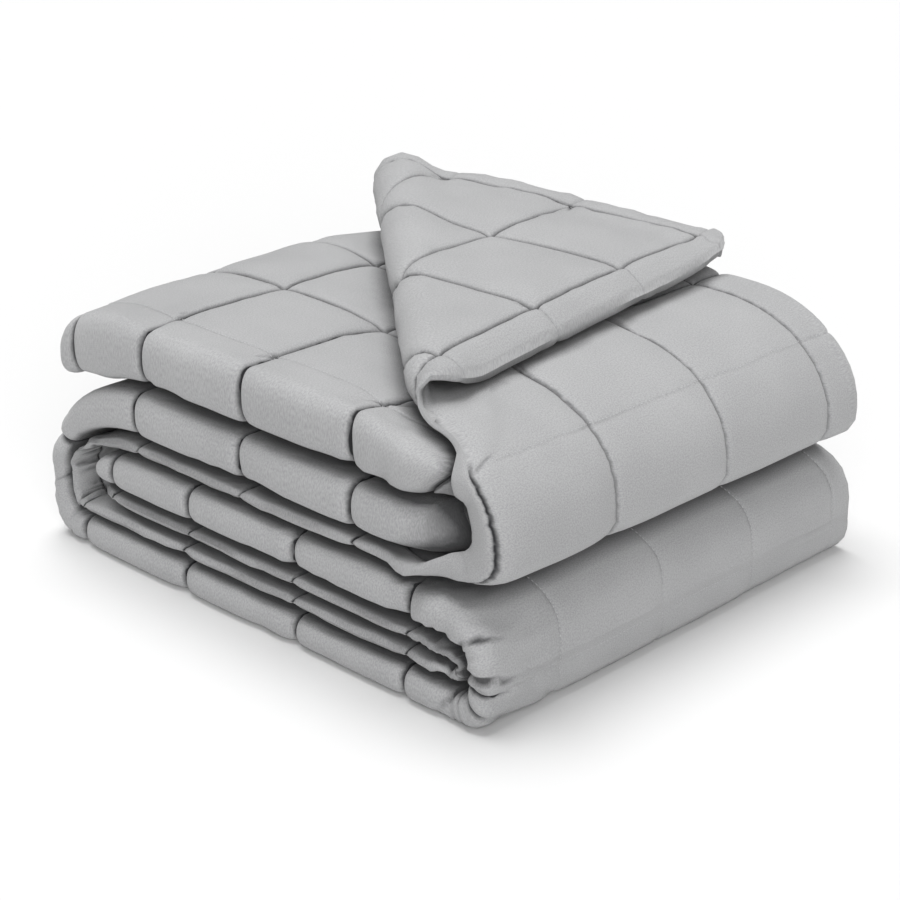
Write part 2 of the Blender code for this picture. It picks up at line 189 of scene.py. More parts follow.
turn = {
    "start": np.array((0.000, 0.030)),     # the line along which the face leaf lifts
    "end": np.array((0.338, 0.403)),
    "radiusStart": 0.0095,                 # of its roll, at both ends of that line
    "radiusEnd": 0.0200,
    "settle": 0.032,           # how far beyond the roll it comes to rest
    "clearance": 0.0120,
    "thicker": 0.70,           # how much fuller the turned leaf is
    "thickerHem": 0.40,
    "droop": 0.0095,           # how far its near hem hangs
    "droopV": (14.4, 15.2, 17.2, 18.4),
    "hemDrawn": 0.20,          # how much narrower its hem is drawn
    "drawnWithin": 1.5,
    "fromV": 14.0,
    "squareLaid": 0.1066,      # the face leaf lies at its full length, from the start of the run
    "laidWhole": 1.6,          # up to this u
    "laidShort": 3.1,          # and from here on as short as the leaves below
}
# The two lower leaves puff up where nothing lies on them. At the free end they sag at the
# left and reach further back to the right of it.
freed = {"rise": 0.010, "reach": 0.060, "early": 1.0}
farEnd = {
    "sag": 0.007,
    "sagFrom": 0.325,
    "sagWhole": 0.365,
    "back": 0.010,
    "backFrom": 0.300,
    "backWhole": 0.400,
    "xFrom": 0.015,
    "xWhole": 0.075,
}
rightDrop = 0.045                  # the block is this share lower at its right front
blockMiddle = (0.1855, 0.2121)     # what lies over the middle of the solids' box
undersidePress = 0.0012

# Crumples: where they are on the sheet, how far they reach, how long their folds are drawn
# out across and along the sheet, their size, depth and side, 0 for both.
crumples = rows(
    "u v reachU reachV alongU alongV size depth side",
    (7.40, 4.00, 0.90, 0.95, 0.45, 1.00, 0.012, 0.60, -1),   # the corner below the low opening
    (7.30, 3.20, 0.70, 0.60, 0.60, 1.00, 0.014, 0.50, -1),
    (-0.10, 3.90, 0.75, 1.40, 0.40, 1.00, 0.010, 0.80, 0),   # hem in the low front bend
    (-0.10, 1.60, 0.32, 1.70, 0.35, 1.00, 0.016, 0.30, 0),   # hem in the inner run
    (-0.10, 6.40, 0.32, 1.70, 0.35, 1.00, 0.016, 0.30, 0),
    (-0.10, 8.70, 0.60, 1.10, 0.30, 1.00, 0.009, 0.80, 0),   # hem in the back bend
    (-0.10, 10.7, 0.32, 1.20, 0.35, 1.00, 0.016, 0.25, 0),   # hem in the middle run
    (7.35, 8.60, 0.55, 0.90, 0.20, 1.00, 0.013, 0.35, -1),
    (-0.14, 13.30, 0.13, 0.90, 0.40, 1.00, 0.010, 0.50, 1),  # tucked hem at the high front
    (7.35, 13.40, 0.55, 0.80, 0.45, 1.00, 0.013, 0.55, -1),
    (7.30, 15.00, 0.50, 0.60, 0.50, 1.00, 0.018, 0.35, -1),  # crossings on the side of the top run
    (7.30, 17.00, 0.45, 0.50, 0.50, 1.00, 0.018, 0.30, -1),
    (7.20, 11.00, 0.50, 0.60, 0.50, 1.00, 0.018, 0.35, -1),  # and of the runs below
    (7.20, 6.00, 0.50, 0.60, 0.50, 1.00, 0.018, 0.35, -1),
    (7.20, 2.00, 0.50, 0.60, 0.50, 1.00, 0.018, 0.35, -1),
    (0.00, 18.00, 3.00, 0.45, 1.00, 0.40, 0.011, 0.40, -1),  # along the turned corner's far hem
)

# Single creases on one side of the sheet, from end to end.
creases = rows(
    "uFrom vFrom uTo vTo width depth side",
    (7.20, 3.50, 7.60, 3.68, 0.0020, 0.70, -1),    # beside the low opening
    (7.22, 3.80, 7.70, 3.94, 0.0020, 0.75, -1),
    (7.20, 4.15, 7.62, 4.28, 0.0022, 0.75, -1),
    (7.05, 4.30, 7.42, 4.75, 0.0022, 0.75, -1),
    (7.00, 4.55, 7.22, 4.95, 0.0022, 0.70, -1),
    (6.74, 8.34, 7.40, 8.22, 0.0026, 0.60, -1),    # round the back bend
    (6.72, 8.58, 7.45, 8.62, 0.0026, 0.60, -1),
    (6.74, 8.86, 7.40, 9.00, 0.0026, 0.60, -1),
    (7.00, 13.05, 7.30, 13.20, 0.0020, 0.50, -1),  # into the hollow
    (6.90, 13.60, 7.25, 13.45, 0.0020, 0.50, -1),
    (6.95, 15.00, 6.60, 14.72, 0.0022, 0.30, -1),  # on the side of the top run
    (7.00, 15.03, 7.28, 15.30, 0.0020, 0.35, -1),
    (6.98, 16.02, 7.30, 16.18, 0.0020, 0.30, -1),
    (6.97, 16.98, 6.70, 17.25, 0.0022, 0.30, -1),
    (0.03, 13.98, 0.40, 14.20, 0.0020, 0.30, 1),   # where the hem bunches at the corner
    (0.02, 12.95, 0.34, 12.80, 0.0022, 0.35, 1),
    (0.00, 16.00, 0.28, 15.80, 0.0020, 0.30, -1),  # on the turned corner
    (1.00, 18.00, 0.86, 17.70, 0.0020, 0.35, -1),
    (2.00, 18.00, 2.18, 17.72, 0.0020, 0.35, -1),
)

# How deep the seams are where the cloth is pulled round the outside of the block.
# along is for the seams that run round the bend, across for those that run along it.
tightFace = {
    "v": (12.3, 13.2, 14.1, 15.0),
    "along": (0.44, 0.50, 0.62, 0.84),
    "across": (0.20, 0.14, 0.14, 0.84),
}
tightBase = {
    "v": (2.6, 3.2, 4.4, 4.9),
    "along": (0.60, 0.36, 0.24, 0.60),
    "across": (0.60, 0.14, 0.14, 0.60),
}
tightBack = {
    "v": (7.6, 8.2, 9.4, 10.2),
    "along": (0.60, 0.30, 0.30, 0.84),
    "across": (0.60, 0.20, 0.20, 0.84),
}

halfSquare = 0.5
# the seam that runs along the left bend, over its outside; darker deepens the painted seam shade on the
# lobes
tightLeft = {"u": 7.0, "along": 0.20, "reach": 0.6, "steeper": 2.4, "darker": 1.45}
# the seam beside the tucked hem, where the face leaf folds over sharply
foldedSeam = {
    "u": 0.0,
    "v": (12.3, 12.8, 14.8, 15.0),
    "along": 0.84,
    "shoulder": 8.0,
    "share": 0.08,
}

draw = np.random.default_rng(quilt["seed"])
cellShape = (2, wide + 2, long + 2)
shoulders = draw.uniform(*quilt["shoulder"], size=(*cellShape, 4))
fullness = draw.uniform(*quilt["fullness"], size=cellShape)


def eased(t):
    t = np.clip(t, 0.0, 1.0)
    return t * t * (3.0 - 2.0 * t)


# noise: the seed of each use, how far apart seeds lie in it, and a face from the cloth's middle
clouds = {"strayU": 1, "strayV": 2, "filling": 3, "crumples": 20, "swings": 50}
seedsApart = 7.31
faceAway = 3.0


def cloud(places, size, seed):
    # smooth noise from -1 to 1 at places in metres, with lumps of that size
    shifted = np.asarray(places) / size + seed * seedsApart
    return np.array([noise.noise(place) for place in shifted])


def flatPlaces(u, v, side):
    return np.column_stack((u * square, v * square, side * faceAway))


def seamRise(place, count, low, high, share):
    # 0 on a seam and 1 in the middle of a square or of the hem
    t = place - np.floor(place)
    past = np.maximum(-place, place - count) / hemSquares
    shoulder = np.where(t < 0.5, low, high)
    pillow = 1.0 - np.abs(2.0 * t - 1.0) ** shoulder
    crease = 1.0 - np.exp(-np.minimum(t, 1.0 - t) * square / quilt["creaseWidth"])
    inside = (1.0 - share) * pillow + share * crease
    s = np.clip(past, 0.0, 1.0)
    roll = 1.0 - np.abs(2.0 * s - 1.0) ** quilt["hemRoll"]
    outer = np.clip(2.0 * s - 1.0, 0.0, 1.0)
    roll = np.where(s > 0.5, np.sqrt(1.0 - outer ** quilt["hemRound"]), roll)
    crease = 1.0 - np.exp(-s * hemSquares * square / quilt["creaseWidth"])
    outside = (1.0 - share) * roll + share * np.minimum(crease, roll + (s < 0.5))
    return np.where(past > 0.0, outside, inside)


def seamDepths(u, v, side):
    along = np.full_like(u, quilt["depth"])
    across = np.full_like(u, quilt["depth"])
    onFace = (u < midLeaf["uStart"]) & (side > 0.0) & (v > tightFace["v"][0]) & (v < tightFace["v"][-1])
    onBase = (u > baseLeaf["uStart"]) & (side < 0.0) & (v < tightBack["v"][-1])
    across = np.where(((u < 0.0) & (v > turn["fromV"])) | (u > wide), quilt["depthHem"], across)
    along = np.where((v < 0.0) | (v > long), quilt["depthHem"], along)
    along = np.where(onBase, quilt["depthUnder"], along)
    across = np.where(onBase, quilt["depthUnder"], across)
    for here, tight in ((onFace, tightFace),
                        (onBase & (v > tightBase["v"][0]) & (v < tightBase["v"][-1]), tightBase),
                        (onBase & (v > tightBack["v"][0]), tightBack)):
        along = np.where(here, np.interp(v, tight["v"], tight["along"]), along)
        across = np.where(here, np.interp(v, tight["v"], tight["across"]), across)
    onLeft = (side < 0.0) & (np.abs(u - tightLeft["u"]) < halfSquare)
    along = np.where(onLeft, tightLeft["along"], along)
    sharp = (side > 0.0) & (np.abs(u - foldedSeam["u"]) < halfSquare)
    sharpDepth = np.maximum(along, foldedSeam["along"] * within(v, foldedSeam["v"]))
    along = np.where(sharp, sharpDepth, along)
    return along, across


def onLobes(u, side):
    # the outside of the left bend
    return (side < 0.0) & (np.abs(u - tightLeft["u"]) < tightLeft["reach"])


def halfThickness(u, v, side):
    # half of the leaf's thickness as stack height, for either face of the cloth
    cell = (((side < 0.0).astype(int)), np.clip(np.floor(u).astype(int) + 1, 0, wide + 1),
            np.clip(np.floor(v).astype(int) + 1, 0, long + 1))
    low, high, near, far = (shoulders[(*cell, edge)] for edge in range(4))
    lobe = np.where(onLobes(u, side), tightLeft["steeper"], 1.0)
    near = near * lobe
    far = far * lobe
    sharp = within(v, foldedSeam["v"]) * (np.floor(u) == foldedSeam["u"])
    low = low + (foldedSeam["shoulder"] - low) * sharp
    share = quilt["creaseShare"] + (foldedSeam["share"] - quilt["creaseShare"]) * sharp
    riseAlong = seamRise(u, wide, low, high, share)
    riseAcross = seamRise(v, long, near, far, quilt["creaseShare"])
    depthAlong, depthAcross = seamDepths(u, v, side)
    sunk = (1.0 - depthAlong * (1.0 - riseAlong)) * (1.0 - depthAcross * (1.0 - riseAcross))
    uneven = 1.0 - (1.0 - fullness[cell]) * riseAlong * riseAcross
    past = np.maximum.reduce([-u, u - wide, -v, v - long]) / hemSquares
    edge = np.where(past > quilt["hemEdgeFrom"], quilt["hemEdge"], 1.0)
    angle = np.interp(v, hemTuck["angleV"], hemTuck["angle"])
    under = eased((angle - hemTuck["underAngle"]) / hemTuck["underWhole"]) * within(v, hemTuck["v"])
    beside = (side < 0.0) & (u >= 0.0) & (u < hemTuck["underReach"])
    over = 1.0 - hemTuck["underThin"] * under * np.where(beside, 1.0 - u / hemTuck["underReach"], 0.0)
    return (0.5 - quilt["leafGap"]) * sunk * uneven * edge * over * rumpled(u, v, side)


def rumpled(u, v, side):
    # what the crumples and the uneven filling leave of the cloth's half thickness
    places = flatPlaces(u, v, side)
    filling = cloud(places, quilt["softSize"], clouds["filling"])
    left = 1.0 - quilt["soft"] * (0.5 + 0.5 * filling)
    for number, spot in enumerate(crumples):
        away = np.hypot((u - spot["u"]) / spot["reachU"], (v - spot["v"]) / spot["reachV"])
        here = (away < 1.0) & (side * spot["side"] >= 0.0)
        if here.any():
            stretched = places[here] * (spot["alongU"], spot["alongV"], 1.0)
            ridge = 1.0 - np.abs(cloud(stretched, spot["size"], clouds["crumples"] + number))
            fading = eased(quilt["foldFade"] * (1.0 - away[here]))
            left[here] *= 1.0 - spot["depth"] * ridge ** quilt["ridge"] * fading
    return left * (1.0 - creased(u, v, side))


def creased(u, v, side):
    # how deep the single creases sink the cloth, 0 away from them
    deepest = np.zeros_like(u)
    for crease in creases:
        span = np.array((crease["uTo"] - crease["uFrom"], crease["vTo"] - crease["vFrom"])) * square
        along = ((u - crease["uFrom"]) * span[0] + (v - crease["vFrom"]) * span[1]) * square
        nearest = np.clip(along / (span @ span), 0.0, 1.0)
        away = np.hypot((u - crease["uFrom"]) * square - nearest * span[0],
                        (v - crease["vFrom"]) * square - nearest * span[1])
        groove = np.exp(-(away / crease["width"]) ** 2.0) * (1.0 - nearest ** quilt["creaseFade"])
        deeper = np.maximum(deepest, crease["depth"] * groove)
        deepest = np.where(side * crease["side"] > 0.0, deeper, deepest)
    return deepest


def swung(u, v):
    # how far the crumples push the middle of the leaf to one side, as stack height
    swing = np.zeros_like(u)
    places = flatPlaces(u, v, 0.0 * u)
    for number, spot in enumerate(crumples):
        away = np.hypot((u - spot["u"]) / spot["reachU"], (v - spot["v"]) / spot["reachV"])
        here = (away < 1.0) & (spot["side"] == 0)
        if here.any():
            stretched = places[here] * (spot["alongU"], spot["alongV"], 1.0)
            bent = cloud(stretched, quilt["swingSize"] * spot["size"], clouds["swings"] + number)
            fading = eased(quilt["swingFade"] * (1.0 - away[here]))
            swing[here] += quilt["swing"] * spot["depth"] * bent * fading
    return swing


def within(v, places):
    # 0 before the first place, 1 between the second and the third, 0 after the last
    rising = eased((v - places[0]) / (places[1] - places[0]))
    return rising * (1.0 - eased((v - places[2]) / (places[3] - places[2])))


def foldInThirds(u, v, side, half):
    x = np.zeros_like(u)
    n = np.zeros_like(u)
    swing = swung(u, v)
    for leaf in (faceLeaf, midLeaf, baseLeaf):
        here = (u >= leaf["uStart"] - nearly) & (u <= leaf["uEnd"] + nearly)
        straight = np.interp(u, [leaf[name] for name in ("uStart", "uBetween", "uEnd")],
                             [leaf[name] for name in ("xStart", "xBetween", "xEnd")])
        x = np.where(here, straight, x)
        n = np.where(here, leaf["middle"] + swing + leaf["way"] * side * half, n)
    t = v - np.floor(v)
    toSeam = np.minimum(t, 1.0 - t) * square
    drawn = sideBend["wideShare"] * np.exp(-toSeam / sideBend["drawnWide"])
    drawn = drawn + (1.0 - sideBend["wideShare"]) * np.exp(-toSeam / sideBend["drawnNarrow"])
    for before, after, roundness, most in ((faceLeaf, midLeaf, "roundRight", "insetRight"),
                                           (midLeaf, baseLeaf, "roundLeft", "insetLeft")):
        power = 2.0 / sideBend[roundness]
        inset = sideBend[most] * drawn
        here = (u > before["uEnd"]) & (u < after["uStart"])
        angle = np.clip(pi * (u - before["uEnd"]) / (after["uStart"] - before["uEnd"]), 0.0, pi)
        radius = 0.5 + before["way"] * side * half
        middle = 0.5 * (before["middle"] + after["middle"])
        out = np.abs(np.sin(angle)) ** power
        up = np.sign(np.cos(angle)) * np.abs(np.cos(angle)) ** power
        bent = before["xEnd"] + before["way"] * (sideBend["reach"] * radius - inset) * out
        x = np.where(here, bent, x)
        n = np.where(here, middle + radius * up, n)
    return pullIn(u, v, side, half, x, n)


def pullIn(u, v, side, half, x, n):
    near = within(v, hemTuck["v"])
    face = u <= faceLeaf["uEnd"]
    drawn = eased((v - turn["fromV"]) / turn["drawnWithin"])
    x = x + turn["hemDrawn"] * np.maximum(-u, 0.0) * square * drawn
    x = x + hemCrowd["by"] * within(v, hemCrowd["v"]) * (1.0 - eased(u - faceLeaf["uStart"]))
    left = 1.0 - eased((u - frontShear["whole"]) / (frontShear["none"] - frontShear["whole"]))
    later = np.where(v > hollow["v"], frontShear["later"] * eased(u), 0.0)
    sheared = frontShear["by"] * within(v - later, frontShear["v"]) * left
    x = np.where(face, x - sheared, x)
    seam = np.interp(0.0, (faceLeaf["uStart"], faceLeaf["uBetween"]),
                     (faceLeaf["xStart"], faceLeaf["xBetween"]))
    most = np.interp(v, hemTuck["angleV"], hemTuck["angle"])
    folded = eased(most)
    kept = np.interp(v, hemTuck["keptV"], hemTuck["kept"])
    past = np.maximum(-u, 0.0) * square * kept
    turned = np.minimum(past / hemTuck["bend"], most)
    beyond = np.maximum(past - hemTuck["bend"] * most, 0.0)
    fromSeam = eased(np.maximum(-u, 0.0) * square / hemTuck["thinWithin"])
    crushed = np.maximum(hemTuck["keptThick"] - kept, 0.0)
    thinned = (1.0 - hemTuck["thin"] * folded) * (1.0 - crushed * fromSeam)
    thick = side * half * hemTuck["leaf"] * thinned
    inward = hemTuck["bend"] * np.sin(turned) + beyond * np.cos(most) + thick * np.sin(turned)
    down = hemTuck["bend"] * (1.0 - np.cos(turned)) + beyond * np.sin(most) - thick * np.cos(turned)
    hem = (u < 0.0) & (near > 0.0)
    x = np.where(hem, x + near * (seam - sheared - inward - x), x)
    n = np.where(hem, n + near * (faceLeaf["middle"] - down / hemTuck["leaf"] - n), n)
    x = np.where(face, x, x + hollow["by"] * hollowDip(u, v))
    return x, n


def hollowDip(u, v):
    aside = np.abs(u - hollow["u"]) / hollow["reachU"]
    return (1.0 - eased(aside)) * (1.0 - eased(np.abs(v - hollow["v"]) / hollow["reachV"]))


def runLevels():
    levels = {}
    floor = 0.0
    for run in runs:
        steps = np.cumsum([0.0, run["base"], run["mid"], run["face"]])
        levels[run["run"]] = floor + (steps if run["upright"] else steps[-1] - steps)
        floor += steps[-1] + runGap
    return levels


levels = runLevels()


def height(run, n, y):
    z = np.interp(n, leafEdges, levels[run])
    for end in freeEnds:
        if end["run"] == run:
            t = np.clip((y - end["yStart"]) / (end["yEnd"] - end["yStart"]), 0.0, 1.0)
            sunk = 1.0 - np.sqrt(1.0 - t ** endPower)
            keep = np.interp(n, faceFrom, (end["keep"], end["keepFace"]))
            z = end["zEnd"] + (z - end["zEnd"]) * (1.0 - sunk * (1.0 - keep))
    return z


quarterPlaces = 65


def quarterAngle(share, reach, rise, power):
    # the angle at a share of a quarter curve's length
    angle = np.linspace(0.0, 0.5 * pi, quarterPlaces)
    steps = np.hypot(np.diff(reach * np.sin(angle) ** power), np.diff(rise * np.cos(angle) ** power))
    length = np.concatenate(([0.0], np.cumsum(steps)))
    return np.interp(share, length / length[-1], angle)


def bendQuarter(v, n, bend, run, vRun, yRun, roundness):
    outside = bend["outside"]
    inside = leafEdges[-1] - outside
    neighbours = [track["run"] for track in tracks[bends.index(bend):bends.index(bend) + 2]]
    zInside = 0.5 * sum(levels[name][inside] for name in neighbours)
    zNose = zInside + (bend["zOutside"] - zInside) * np.abs(n - inside) / leafEdges[-1]
    yNose = np.interp(n, leafEdges, bend["noses"])
    zRun = height(run, n, np.full_like(v, yRun))
    power = 2.0 / roundness
    reach = abs(bend["noses"][outside] - yRun)
    rise = abs(levels[run][outside] - bend["zOutside"])
    angle = quarterAngle((v - vRun) / (bend["vNose"] - vRun), reach, rise, power)
    y = yRun + (yNose - yRun) * np.sin(angle) ** power
    z = zNose + (zRun - zNose) * np.cos(angle) ** power
    return y, z


def rollUp(v, n):
    y = np.zeros_like(v)
    z = np.zeros_like(v)
    for track in tracks:
        here = (v >= track["vStart"] - nearly) & (v <= track["vEnd"] + nearly)
        place = np.interp(v, [track[name] for name in ("vStart", "vBetween", "vEnd")],
                          [track[name] for name in ("yStart", "yBetween", "yEnd")])
        y = np.where(here, place, y)
        z = np.where(here, height(track["run"], n, place), z)
    for bend, before, after in zip(bends, tracks[:-1], tracks[1:]):
        into = (v > before["vEnd"]) & (v <= bend["vNose"])
        outOf = (v > bend["vNose"]) & (v < after["vStart"])
        for here, run, vRun, yRun, roundness in (
                (into, before["run"], before["vEnd"], before["yEnd"], bend["roundnessIn"]),
                (outOf, after["run"], after["vStart"], after["yStart"], bend["roundnessOut"])):
            yBent, zBent = bendQuarter(v, n, bend, run, vRun, yRun, roundness)
            y = np.where(here, yBent, y)
            z = np.where(here, zBent, z)
    return y, z


def layFaceLeaf(u, v, y):
    whole = 1.0 - eased((u - turn["laidWhole"]) / (turn["laidShort"] - turn["laidWhole"]))
    laid = topTrack["yStart"] + (v - topTrack["vStart"]) * turn["squareLaid"]
    laid = laid - turn["hemDrawn"] * np.maximum(v - long, 0.0) * turn["squareLaid"]
    onTop = (u <= faceLeaf["uEnd"]) & (v > topTrack["vStart"])
    return np.where(onTop, y + whole * (laid - y), y)


def turnLine(x, y):
    # the way along the line of the turned corner, and the way beyond it
    start = turn["start"]
    along = turn["end"] - start
    span = np.hypot(*along)
    along = along / span
    step = (x - start[0]) * along[0] + (y - start[1]) * along[1]
    beyond = (y - start[1]) * along[0] - (x - start[0]) * along[1]
    return start, along, span, step, beyond


def puffUp(u, v, n, x, y, z):
    beyond = turnLine(x, y)[-1]
    lower = (u > faceLeaf["uEnd"]) & (v > topTrack["vStart"] - freed["early"])
    started = eased((v - topTrack["vStart"] + freed["early"]) / freed["early"])
    rise = freed["rise"] * eased(beyond / freed["reach"]) * np.clip(n, 0.0, 2.0) / 2.0 * started
    sag = farEnd["sag"] * (1.0 - np.clip(n, 0.0, 2.0) / 2.0)
    sag = sag * eased((y - farEnd["sagFrom"]) / (farEnd["sagWhole"] - farEnd["sagFrom"]))
    right = eased((x - farEnd["xFrom"]) / (farEnd["xWhole"] - farEnd["xFrom"]))
    back = farEnd["back"] * right
    back = back * eased((y - farEnd["backFrom"]) / (farEnd["backWhole"] - farEnd["backFrom"]))
    end = lower & (v > topTrack["vStart"])
    return np.where(end, y + back, y), np.where(end, z + rise - sag, np.where(lower, z + rise, z))


def turnCorner(u, v, x, y, z):
    # the free corner of the face leaf rolls up from a line and lies back over the leaf
    start, along, span, step, beyond = turnLine(x, y)
    turned = (u <= faceLeaf["uEnd"]) & (v > turn["fromV"]) & (beyond > 0.0)
    radius = np.interp(step / span, (0.0, 1.0), (turn["radiusStart"], turn["radiusEnd"]))
    middle = np.full_like(u, faceLeaf["middle"])
    thicker = np.where((u < 0.0) | (v > long), turn["thickerHem"], turn["thicker"])
    offset = (z - height("top", middle, y)) * (1.0 + thicker * eased(beyond / (pi * radius)))
    foot = height("top", middle, start[1] + step * along[1])
    angle = np.minimum(beyond / radius, pi)
    past = np.maximum(beyond - pi * radius, 0.0)
    resting = runs[-1]["face"] + turn["clearance"]
    sinking = eased(past / turn["settle"]) * (np.maximum(2.0 * radius, resting) - resting)
    hanging = within(v, turn["droopV"]) * eased(past / turn["settle"])
    sinking = sinking + turn["droop"] * hanging * eased(np.maximum(-u, 0.0) / hemSquares)
    lift = radius - (radius - offset) * np.cos(angle) - sinking
    reach = (radius - offset) * np.sin(angle) - past
    xTurned = start[0] + step * along[0] - reach * along[1]
    yTurned = start[1] + step * along[1] + reach * along[0]
    return np.where(turned, xTurned, x), np.where(turned, yTurned, y), np.where(turned, foot + lift, z)


def strayed(u, v, side):
    # the seams stray a little from their lines, and the corners of the hem are rounded
    pastU = np.maximum(-u, u - wide) / hemSquares
    pastV = np.maximum(-v, v - long) / hemSquares
    corner = (pastU > 0.0) & (pastV > 0.0)
    a = np.clip(pastU, 0.0, 1.0)
    b = np.clip(pastV, 0.0, 1.0)
    power = quilt["cornerRoundness"]
    reach = np.maximum((a ** power + b ** power) ** (1.0 / power), nearly)
    rounded = np.where(corner, np.maximum(a, b) / reach, 1.0)
    uRounded = np.where(u < 0.0, u * rounded, np.where(u > wide, wide + (u - wide) * rounded, u))
    vRounded = np.where(v < 0.0, v * rounded, np.where(v > long, long + (v - long) * rounded, v))
    places = flatPlaces(u, v, 0.0 * side)
    uStray = 0.0
    vStray = 0.0
    for amount, size in (("wander", "wanderLength"), ("waver", "waverLength")):
        uStray = uStray + quilt[amount] / square * cloud(places, quilt[size], clouds["strayU"])
        vStray = vStray + quilt[amount] / square * cloud(places, quilt[size], clouds["strayV"])
    return uRounded + uStray, vRounded + vStray


def foldBlanket(u, v, side):
    half = halfThickness(u, v, side)
    uPlace, vPlace = strayed(u, v, side)
    uPlace = np.clip(uPlace, -hemSquares, wide + hemSquares)
    vPlace = np.clip(vPlace, -hemSquares, long + hemSquares)
    x, n = foldInThirds(uPlace, vPlace, side, half)
    y, z = rollUp(vPlace, n)
    y = layFaceLeaf(uPlace, vPlace, y)
    y, z = puffUp(uPlace, vPlace, n, x, y, z)
    x, y, z = turnCorner(uPlace, vPlace, x, y, z)
    drop = rightDrop * (1.0 - eased(y / topTrack["yEnd"]))
    z = z * (1.0 - drop * np.clip(x / baseLeaf["xEnd"], 0.0, 1.0))
    return np.column_stack((x, y, z))


# Where the flat sheet is divided: as shares of a square from a seam to its middle, and of the
# hem. Where the cloth is bunched there are more lines along the length.
sheetLines = {
    "fine": (0.0, 0.010, 0.027, 0.058, 0.11, 0.19, 0.29, 0.40, 0.50),
    "plain": (0.0, 0.058, 0.29, 0.50),
    "plainWithin": 0.004,      # a line this near to one of these is the same line
    "hem": (0.0, 0.05, 0.12, 0.26, 0.44, 0.62, 0.80, 0.92, 0.98, 1.0),
    "sideBendStrips": 18,
    "clear": 0.01,             # beside a side bend, where no other line lies
    "pleated": ((3.10, 4.80), (8.10, 9.40), (12.60, 14.60)),
    "pleatStep": 0.044,
    "pleatClear": 0.3,         # a pleat's least distance from other lines, in steps
}
# Parts of the sheet that the folds hide, as u and v from and to: they need fewer lines.
hidden = (
    (3.6, 6.7, -1.0, 14.4),
    (0.5, 3.0, -1.0, 12.0),
    (7.9, 10.8, -1.0, 2.5),
    (7.9, 10.8, 5.1, 7.5),
    (7.9, 10.8, 9.8, 17.4),
)
smooth = ((0.5, 6.7), (7.9, 12.0))     # between these u the pleats' lines are left out


def lineUp(squares, sideBends):
    half = np.array(sheetLines["fine"])
    lines = [cell + place for cell in range(squares) for place in (*half, *(1.0 - half[1:-1]))]
    lines += [squares + hemSquares * s for s in sheetLines["hem"]]
    lines += [-hemSquares * s for s in sheetLines["hem"][1:]]
    for start, end in sideBends:
        lines = [line for line in lines
                 if not start - sheetLines["clear"] < line < end + sheetLines["clear"]]
        lines += list(np.linspace(start, end, sheetLines["sideBendStrips"] + 1))
    return sorted(lines)


def isPlain(line, squares):
    # whether a line is one that the hidden parts keep
    share = line - np.floor(line)
    nearest = min(abs(min(share, 1.0 - share) - kept) for kept in sheetLines["plain"])
    return nearest < sheetLines["plainWithin"] or line < 0.0 or line > squares


def flatSheet():
    uLines = lineUp(wide, [(faceLeaf["uEnd"], midLeaf["uStart"]),
                           (midLeaf["uEnd"], baseLeaf["uStart"])])
    vLines = lineUp(long, [])
    pleats = []
    clear = sheetLines["pleatClear"] * sheetLines["pleatStep"]
    for start, end in sheetLines["pleated"]:
        for line in np.arange(start, end, sheetLines["pleatStep"]):
            if min(abs(line - other) for other in vLines) > clear:
                pleats.append(line)
    vLines = sorted(vLines + pleats)
    sheet = bmesh.new()
    columns = len(uLines) - 1
    ranks = len(vLines) - 1
    bmesh.ops.create_grid(sheet, x_segments=columns, y_segments=ranks, size=1.0)
    for vert in sheet.verts:
        column = round(0.5 * (vert.co.x + 1.0) * columns)
        rank = round(0.5 * (vert.co.y + 1.0) * ranks)
        vert.co = (uLines[column], vLines[rank], 0.0)
    plainU = {round(line, 4): isPlain(line, wide) for line in uLines}
    plainV = {round(line, 4): isPlain(line, long) for line in vLines}
    pleats = {round(line, 4) for line in pleats}
    spare = []
    for edge in sheet.edges:
        first, last = (vert.co for vert in edge.verts)
        middle = 0.5 * (first + last)
        upward = abs(first.x - last.x) < nearly
        kept = plainU[round(first.x, 4)] if upward else plainV[round(first.y, 4)]
        unseen = any(left < middle.x < right and near < middle.y < far
                     for left, right, near, far in hidden)
        pleat = not upward and round(first.y, 4) in pleats
        if (unseen and not kept) or (pleat and any(left < middle.x < right for left, right in smooth)):
            spare.append(edge)
    bmesh.ops.dissolve_edges(sheet, edges=spare, use_verts=True, use_face_split=False)
    return sheet


# painted shade of the folds: the cloth is painted darker where other cloth is close, as found by short
# rays
paintedFoldShade = {
    "reach": 0.030,            # other cloth further away than this closes nothing in
    "rays": 12,
    "start": 0.0006,           # how far off the cloth the rays start
    "hollow": 0.60,            # how much painted shade the hollow adds
    "crease": 1.1,             # and how much the single creases add
}


def paintedShadeOfFolds(sheet):
    # 0 where the cloth lies open, up to 1 where other cloth is close all round, for the painted shade
    # of the folds
    tree = BVHTree.FromBMesh(sheet)
    # the golden angle spreads the rays evenly over half a globe
    count = paintedFoldShade["rays"]
    sweep = np.arange(count) * pi * (3.0 - np.sqrt(5.0))
    flat = np.sqrt((np.arange(count) + 0.5) / count)
    steep = np.sqrt(1.0 - flat * flat)
    rays = [Vector(ray) for ray in zip(flat * np.cos(sweep), flat * np.sin(sweep), steep)]
    foldShadeAmount = []
    sheet.normal_update()
    for vert in sheet.verts:
        turned = vert.normal.to_track_quat("Z", "Y").to_matrix()
        start = vert.co + vert.normal * paintedFoldShade["start"]
        hits = (tree.ray_cast(start, turned @ ray, paintedFoldShade["reach"])[3] for ray in rays)
        foldShadeAmount.append(sum(1.0 - far / paintedFoldShade["reach"] for far in hits if far is not None) / count)
    return np.array(foldShadeAmount)


